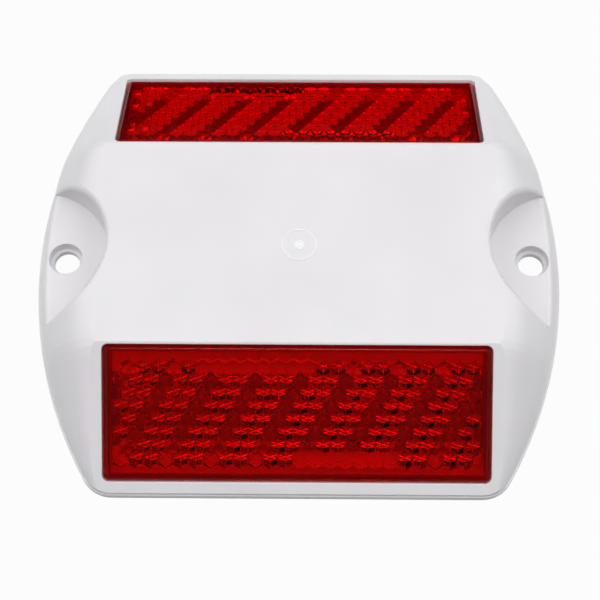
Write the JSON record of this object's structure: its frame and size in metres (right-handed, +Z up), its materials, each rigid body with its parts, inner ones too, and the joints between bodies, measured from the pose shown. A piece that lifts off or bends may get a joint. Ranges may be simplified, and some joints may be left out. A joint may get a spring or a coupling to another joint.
{
  "type": "raised road stud",
  "caption": "Raised road stud: white moulded housing with a flat top, a red prismatic reflector in each sloped end, and a pocket with a screw hole at either side.",
  "frame": {"origin": "middle of the base, on the road surface", "axes": "+Z up from the road, +X across the stud along its lenses, -Y towards the front lens"},
  "size_m": [0.114, 0.102, 0.018],
  "materials": {
    "housing_white": "satin moulded ABS",
    "lens_red": "clear red moulded PMMA",
    "backing_white": "white ABS sheet",
    "bond_grey": "cured adhesive"
  },
  "bodies": {
    "root": {"housing": "housing_white", "front_lens": "lens_red", "rear_lens": "lens_red", "front_lens_backing": "backing_white", "rear_lens_backing": "backing_white", "front_lens_bond": "bond_grey", "rear_lens_bond": "bond_grey"}
  },
  "joints": []
}
